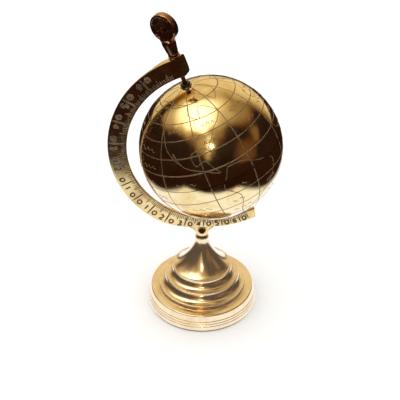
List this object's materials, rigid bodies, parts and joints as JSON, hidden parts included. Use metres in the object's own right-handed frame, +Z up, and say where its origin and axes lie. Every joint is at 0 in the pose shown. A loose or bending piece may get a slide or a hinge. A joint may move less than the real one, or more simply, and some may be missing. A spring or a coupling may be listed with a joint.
{
  "type": "desktop globe on stand",
  "caption": "Hollow brass globe that spins on a tilted axis inside a graduated meridian arc, clamped by a coin-headed thumb screw on a turned, stepped foot.",
  "frame": {"origin": "middle of the felt pad's underside, on the foot's axis, at table height", "axes": "+Z up along the foot's axis, -Y towards the arc's flat scale face, -X towards the bulge of the arc; the polar axis leans towards -X"},
  "size_m": [0.0967, 0.08, 0.1855],
  "materials": {
    "foot": "turned and polished brass",
    "foot_pad": "felt",
    "foot_screw": "plain steel",
    "foot_screw_washer": "plain steel",
    "neck_ring": "blackened",
    "meridian_arc": "polished brass with black-filled engraving",
    "south_pivot_pin": "turned steel",
    "upper_shell": "polished brass, engraved",
    "lower_shell": "polished brass, engraved",
    "joint_band": "turned brass",
    "north_bush": "turned brass",
    "south_bush": "turned brass",
    "north_washer": "blackened",
    "south_washer": "blackened",
    "thumb_screw_washer": "turned brass",
    "thumb_screw": "dark bronzed brass"
  },
  "bodies": {
    "stand": {"foot": "foot", "foot_pad": "foot_pad", "foot_screw": "foot_screw", "foot_screw_washer": "foot_screw_washer", "neck_ring": "neck_ring", "meridian_arc": "meridian_arc", "south_pivot_pin": "south_pivot_pin"},
    "globe": {"upper_shell": "upper_shell", "lower_shell": "lower_shell", "joint_band": "joint_band", "north_bush": "north_bush", "south_bush": "south_bush", "north_washer": "north_washer", "south_washer": "south_washer"},
    "screw_washer": {"thumb_screw_washer": "thumb_screw_washer"},
    "thumb_screw": {"thumb_screw": "thumb_screw"}
  },
  "joints": [
    {"name": "globe_spin", "type": "hinge", "parent": "stand", "child": "globe", "pos_m": [0.0048, 0, 0.1082], "axis": [-0.3338, 0, 0.9426], "continuous": true},
    {"name": "screw_travel", "type": "slide", "parent": "stand", "child": "screw_washer", "axis": [-0.3338, 0, 0.9426], "range_m": [0, 0.0032]},
    {"name": "screw_turn", "type": "hinge", "parent": "screw_washer", "child": "thumb_screw", "pos_m": [0.0048, 0, 0.1082], "axis": [-0.3338, 0, 0.9426], "range_deg": [0, 1440]}
  ],
  "couplings": [
    {"joint": "screw_turn", "follows": "screw_travel", "rad_per_m": 7854}
  ]
}
